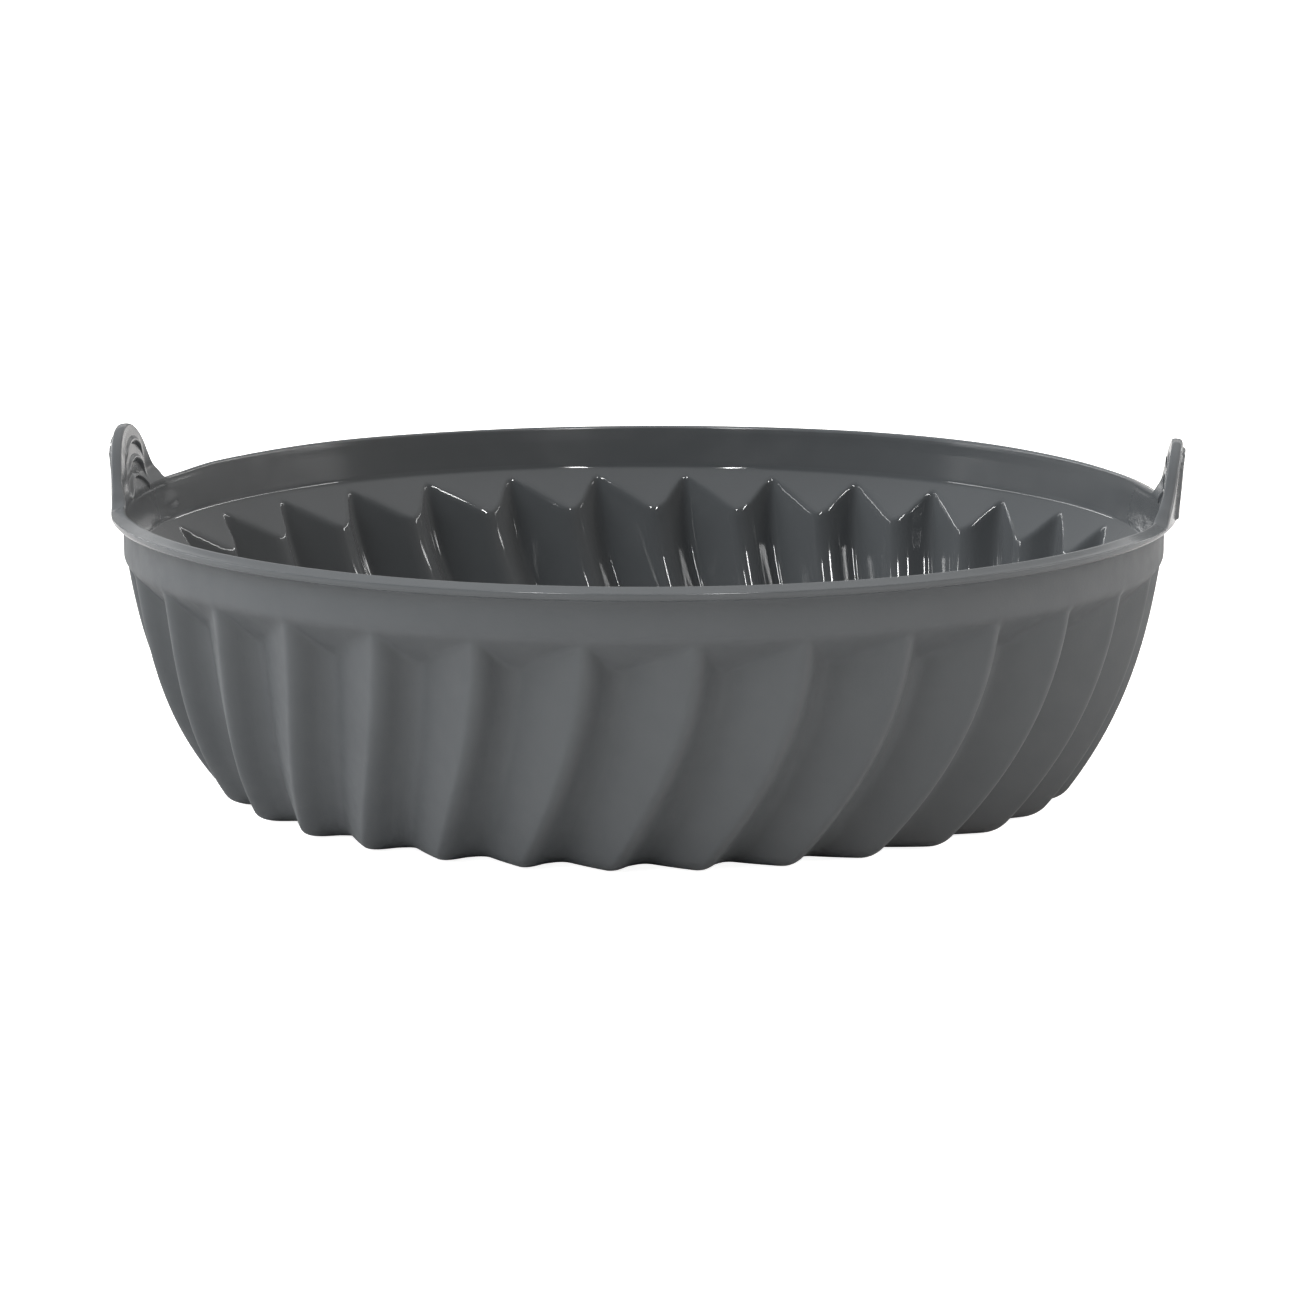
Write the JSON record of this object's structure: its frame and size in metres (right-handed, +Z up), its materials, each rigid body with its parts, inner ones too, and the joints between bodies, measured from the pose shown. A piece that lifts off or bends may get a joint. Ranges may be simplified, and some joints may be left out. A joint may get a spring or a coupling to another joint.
{
  "type": "air fryer silicone mould",
  "caption": "Round silicone baking mould for an air fryer, with a swirl-fluted wall, a smooth beaded rim and grip ears at its sides that bend.",
  "frame": {"origin": "middle of the standing face, on the bowl's axis", "axes": "+Z up along the bowl's axis, +X towards the right ear as pictured, which is 5.9 degrees to its -Y side, and -Y towards the camera"},
  "size_m": [0.2084, 0.2046, 0.068],
  "materials": {
    "wall": "matt",
    "floor": "satin",
    "rim": "satin",
    "ear": "satin"
  },
  "bodies": {
    "mould": {"base_panel": "floor", "corner_ring": "wall", "fluted_wall": "wall", "rim_band": "rim", "rim_bead": "rim", "left_ear_root": "rim", "left_inner_rib_3": "ear", "left_outer_rib_3": "ear", "right_ear_root": "rim", "right_inner_rib_3": "ear", "right_outer_rib_3": "ear"},
    "left_ear": {"left_ear_tab": "ear", "left_inner_rib_1": "ear", "left_inner_rib_2": "ear", "left_outer_rib_1": "ear", "left_outer_rib_2": "ear"},
    "right_ear": {"right_ear_tab": "ear", "right_inner_rib_1": "ear", "right_inner_rib_2": "ear", "right_outer_rib_1": "ear", "right_outer_rib_2": "ear"}
  },
  "joints": [
    {"name": "left_ear_bend", "type": "hinge", "parent": "mould", "child": "left_ear", "pos_m": [-0.10045, 0.01038, 0.05778], "axis": [-0.1028, -0.9947, 0], "range_deg": [-25, 25], "stiffness_Nm_per_rad": 0.01},
    {"name": "right_ear_bend", "type": "hinge", "parent": "mould", "child": "right_ear", "pos_m": [0.10045, -0.01038, 0.05778], "axis": [0.1028, 0.9947, 0], "range_deg": [-25, 25], "stiffness_Nm_per_rad": 0.01}
  ]
}
